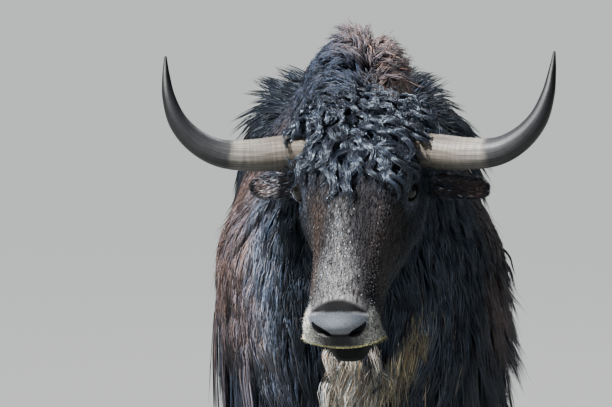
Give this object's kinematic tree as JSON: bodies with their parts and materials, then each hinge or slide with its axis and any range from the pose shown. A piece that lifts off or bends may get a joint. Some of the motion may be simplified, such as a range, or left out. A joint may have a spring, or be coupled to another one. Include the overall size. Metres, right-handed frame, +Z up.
{
  "type": "yak",
  "caption": "Life-size standing domestic yak bull with wide upswept horns, curly forelock, shoulder hump, long hanging coat and tufted tail, as a still display model.",
  "frame": {"origin": "on the floor, under the middle of the whole animal", "axes": "+Z up, the yak faces -Y, +X is its left side; +Y is the longest extent, nose to tail"},
  "size_m": [0.6891, 2.2828, 1.356],
  "materials": {
    "coat": "long black hair with brown bands and a cream throat",
    "head_coat": "short dark hair, frosted down the nose, glossy curls on the brow",
    "ear_coat": "short black hair, brown inside",
    "horn": "satin horn, ivory at the base and black at the tip",
    "eye": "wet gloss",
    "hoof": "dull dark horn"
  },
  "bodies": {
    "root": {"dewclaw_front_left_inner": "hoof", "dewclaw_front_left_outer": "hoof", "dewclaw_front_right_inner": "hoof", "dewclaw_front_right_outer": "hoof", "dewclaw_hind_left_inner": "hoof", "dewclaw_hind_left_outer": "hoof", "dewclaw_hind_right_inner": "hoof", "dewclaw_hind_right_outer": "hoof", "ear_left": "ear_coat", "ear_right": "ear_coat", "eye_left": "eye", "eye_right": "eye", "head": "head_coat", "hoof_front_left_inner": "hoof", "hoof_front_left_outer": "hoof", "hoof_front_right_inner": "hoof", "hoof_front_right_outer": "hoof", "hoof_hind_left_inner": "hoof", "hoof_hind_left_outer": "hoof", "hoof_hind_right_inner": "hoof", "hoof_hind_right_outer": "hoof", "horn_left": "horn", "horn_right": "horn", "leg_front_left": "coat", "leg_front_right": "coat", "leg_hind_left": "coat", "leg_hind_right": "coat", "neck": "coat", "tail": "coat", "torso": "coat"}
  },
  "joints": []
}
